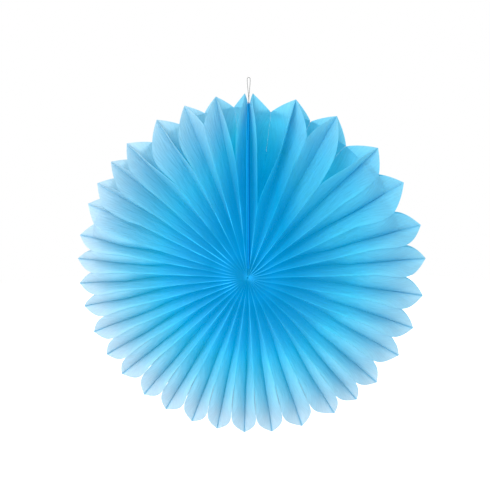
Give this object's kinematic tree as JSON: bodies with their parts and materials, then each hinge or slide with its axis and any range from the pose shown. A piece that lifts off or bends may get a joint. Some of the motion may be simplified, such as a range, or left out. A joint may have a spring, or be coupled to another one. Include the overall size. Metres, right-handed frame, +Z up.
{
  "type": "paper fan rosette",
  "caption": "Round hanging tissue fan with pointed honeycomb petals, closed on itself at a pair of end cards and hung from a thread loop.",
  "frame": {"origin": "centre of the fan, on the hub axis at half its depth", "axes": "+Y along the hub axis towards the back, front face towards -Y, +Z up to the seam and the hanging thread"},
  "size_m": [0.3991, 0.076, 0.4171],
  "materials": {
    "tissue": "light blue tissue, matt and translucent",
    "card": "blue card, matt",
    "adhesive": "white foam adhesive",
    "thread": "thin pale grey twisted thread"
  },
  "bodies": {
    "root": {"petal_01": "tissue", "petal_02": "tissue", "petal_03": "tissue", "petal_04": "tissue", "petal_05": "tissue", "petal_06": "tissue", "petal_07": "tissue", "petal_08": "tissue", "petal_09": "tissue", "petal_10": "tissue", "petal_11": "tissue", "petal_12": "tissue", "petal_13": "tissue", "petal_14": "tissue", "petal_15": "tissue", "petal_16": "tissue", "petal_17": "tissue", "petal_18": "tissue", "petal_19": "tissue", "petal_20": "tissue", "petal_21": "tissue", "petal_22": "tissue", "petal_23": "tissue", "petal_24": "tissue", "petal_25": "tissue", "petal_26": "tissue", "petal_27": "tissue", "petal_28": "tissue", "petal_29": "tissue", "petal_30": "tissue", "petal_31": "tissue", "petal_32": "tissue", "petal_33": "tissue", "half_petal_left": "tissue", "half_petal_right": "tissue", "end_card_left": "card", "end_card_right": "card", "adhesive_strip_front": "adhesive", "adhesive_strip_back": "adhesive", "hanging_thread": "thread"}
  },
  "joints": []
}
